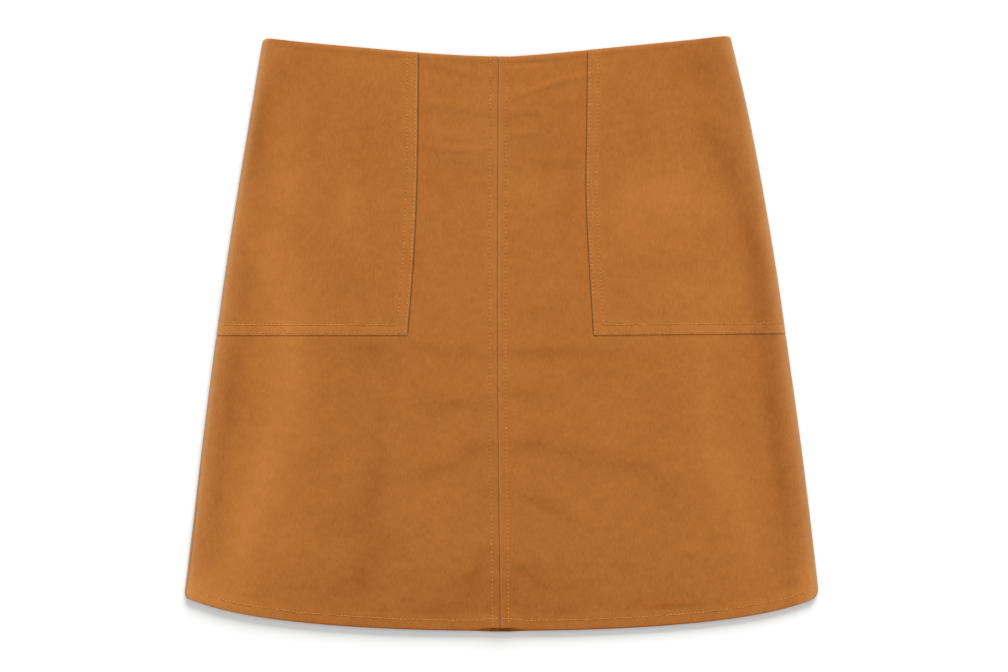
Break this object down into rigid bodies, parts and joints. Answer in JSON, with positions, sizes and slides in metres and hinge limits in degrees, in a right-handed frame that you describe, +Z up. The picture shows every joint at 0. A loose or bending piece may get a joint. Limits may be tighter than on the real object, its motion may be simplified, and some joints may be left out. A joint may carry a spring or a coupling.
{
  "type": "a-line skirt",
  "caption": "Short a-line skirt in brushed suede-like cloth, lying flat, with a centre front seam, large patch pockets and a concealed back zip.",
  "frame": {"origin": "middle of the skirt's outline, on the surface it lies on", "axes": "+X to the viewer's right across the front, +Y from the hem to the waist, +Z up, out of the front"},
  "size_m": [0.4907, 0.4607, 0.0087],
  "materials": {
    "suede": "brushed suede-like twill, tan, matt with a soft nap",
    "thread": "tan sewing thread, slightly lighter than the cloth",
    "zip_tape": "woven polyester tape with a nylon coil",
    "zip_metal": "tan enamel on zinc"
  },
  "bodies": {
    "skirt": {"front_left": "suede", "front_right": "suede", "back_left": "suede", "back_right": "suede", "pocket_left": "suede", "pocket_right": "suede", "zip_tape": "zip_tape", "zip_slider": "zip_metal"},
    "pull_tab": {"pull_tab": "zip_metal"}
  },
  "joints": [
    {"name": "pull_tab_hinge", "type": "hinge", "parent": "skirt", "child": "pull_tab", "pos_m": [0, 0.2062, 0.00105], "axis": [1, 0, 0], "range_deg": [0, 165]}
  ]
}
